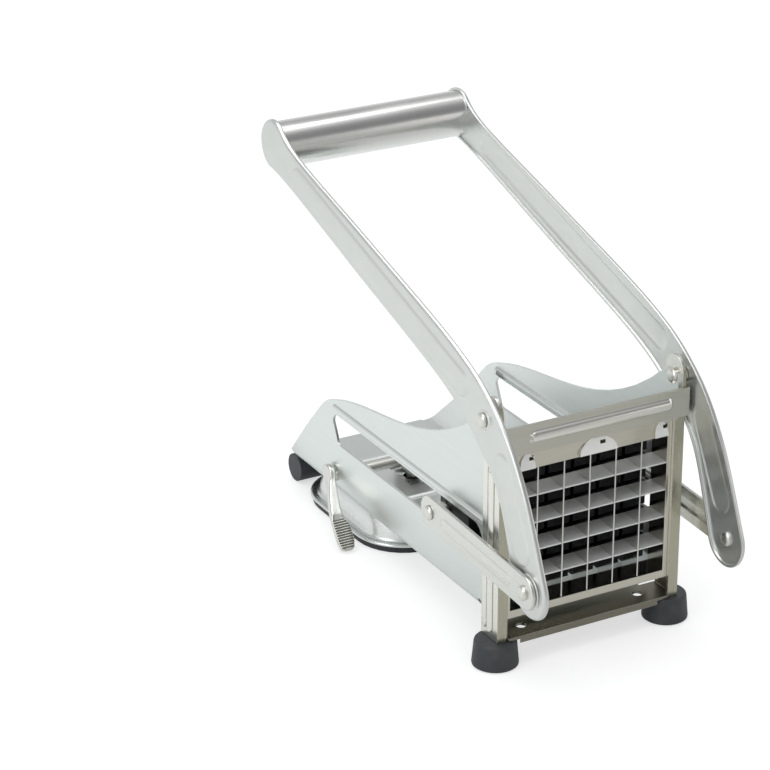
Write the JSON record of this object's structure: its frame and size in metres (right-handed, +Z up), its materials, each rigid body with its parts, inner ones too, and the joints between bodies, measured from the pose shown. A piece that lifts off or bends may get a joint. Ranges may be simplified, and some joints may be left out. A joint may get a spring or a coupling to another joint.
{
  "type": "french fry cutter",
  "caption": "Lever french fry cutter: sheet-steel trough with a blade grid, a pusher driven by a U handle through two links, rubber feet and a suction base.",
  "frame": {"origin": "middle of the bounding box, on the table under the feet", "axes": "+Z up; the blades face -Y and the handle lies to +Y; +X is to the right seen from the blade side"},
  "size_m": [0.1058, 0.2506, 0.1838],
  "materials": {
    "body_steel": "satin",
    "post_steel": "satin",
    "strap_steel": "satin",
    "shelf_steel": "satin",
    "blade_steel": "polished",
    "arm_steel": "satin",
    "link_steel": "satin",
    "handle_steel": "brushed along the tube's girth",
    "rivet_steel": "turned",
    "base_steel": "satin",
    "cast_lever": "cast",
    "stem_steel": "satin",
    "rubber": "matt",
    "black_plastic": "matt"
  },
  "bodies": {
    "frame": {"trough": "body_steel", "left_post": "post_steel", "right_post": "post_steel", "front_strap": "strap_steel", "front_shelf": "shelf_steel", "blade_frame": "blade_steel", "vertical_blades": "blade_steel", "horizontal_blades": "blade_steel", "front_feet": "rubber", "rear_foot": "rubber", "post_rivets": "rivet_steel", "base_rivets": "rivet_steel", "suction_housing": "base_steel", "suction_pad": "rubber", "lever_pivot_pins": "rivet_steel"},
    "lever": {"left_arm": "arm_steel", "right_arm": "arm_steel", "handle_tube": "handle_steel", "arm_end_rivets": "rivet_steel"},
    "pusher": {"pusher_block": "black_plastic", "pusher_cross_pin": "rivet_steel", "link_spacers": "rivet_steel"},
    "left_link": {"left_link": "link_steel", "left_link_rivet": "rivet_steel"},
    "right_link": {"right_link": "link_steel", "right_link_rivet": "rivet_steel"},
    "suction_lever": {"suction_lever": "cast_lever", "suction_shaft": "rivet_steel"},
    "suction_stem": {"suction_stem": "stem_steel"}
  },
  "joints": [
    {"name": "lever_hinge", "type": "hinge", "parent": "frame", "child": "lever", "pos_m": [0, -0.07737, 0.112], "axis": [1, 0, 0], "range_deg": [0, 78]},
    {"name": "pusher_slide", "type": "slide", "parent": "frame", "child": "pusher", "axis": [0, 1, 0], "range_m": [0, 0.08731]},
    {"name": "left_link_hinge", "type": "hinge", "parent": "pusher", "child": "left_link", "pos_m": [0, -0.03746, 0.054], "axis": [1, 0, 0], "range_deg": [-10.23, 0]},
    {"name": "right_link_hinge", "type": "hinge", "parent": "pusher", "child": "right_link", "pos_m": [0, -0.03746, 0.054], "axis": [1, 0, 0], "range_deg": [-10.23, 0]},
    {"name": "suction_lever_hinge", "type": "hinge", "parent": "frame", "child": "suction_lever", "pos_m": [-0.042, 0.06714, 0.025], "axis": [-1, 0, 0], "range_deg": [0, 120]},
    {"name": "suction_stem_slide", "type": "slide", "parent": "frame", "child": "suction_stem", "axis": [0, 0, -1], "range_m": [0, 0.00347]}
  ],
  "couplings": [
    {"joint": "pusher_slide", "follows": "lever_hinge", "m_per_rad": 0.064129},
    {"joint": "left_link_hinge", "follows": "lever_hinge", "ratio": -0.13106},
    {"joint": "right_link_hinge", "follows": "lever_hinge", "ratio": -0.13106},
    {"joint": "suction_stem_slide", "follows": "suction_lever_hinge", "m_per_rad": 0.001654}
  ]
}
